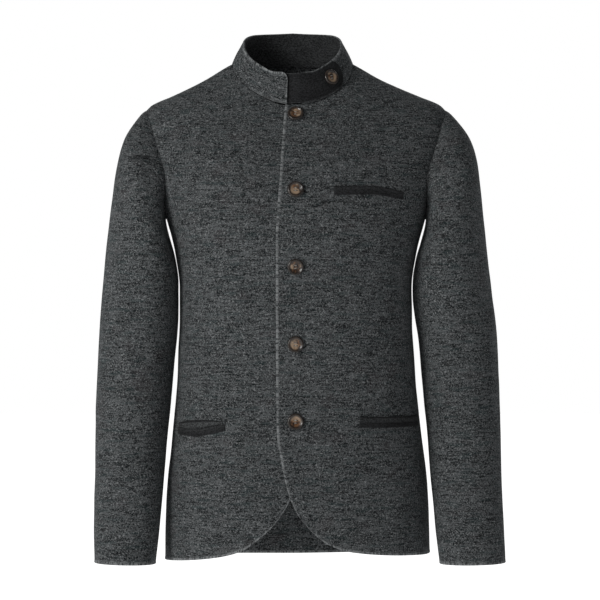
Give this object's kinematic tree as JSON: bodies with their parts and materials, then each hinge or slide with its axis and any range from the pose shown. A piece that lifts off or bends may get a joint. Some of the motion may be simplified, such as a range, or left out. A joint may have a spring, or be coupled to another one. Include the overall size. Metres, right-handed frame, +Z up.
{
  "type": "trachten jacket",
  "caption": "Men's boiled wool folk jacket in worn form: stand collar with buttoned tab, cutaway front hem, welt pockets and horn buttons.",
  "frame": {"origin": "centre of the neck's base, level with the points where the shoulder seams meet the collar, where the wearer holds the jacket up", "axes": "+Z up, -Y the front of the jacket, +X the wearer's left"},
  "size_m": [0.5895, 0.2673, 0.7686],
  "materials": {
    "grey_wool": "matte heathered boiled wool with fine level streaks",
    "charcoal_wool": "matte dark felted wool",
    "horn": "polished mottled brown horn"
  },
  "bodies": {
    "root": {"back": "grey_wool", "front_left": "grey_wool", "front_right": "grey_wool", "sleeve_left": "grey_wool", "sleeve_right": "grey_wool", "collar": "grey_wool", "collar_facing": "charcoal_wool", "collar_tab": "charcoal_wool", "welt_breast": "charcoal_wool", "welt_left": "charcoal_wool", "welt_right": "charcoal_wool", "button_1": "horn", "button_2": "horn", "button_3": "horn", "button_4": "horn", "button_5": "horn", "button_collar": "horn"}
  },
  "joints": []
}
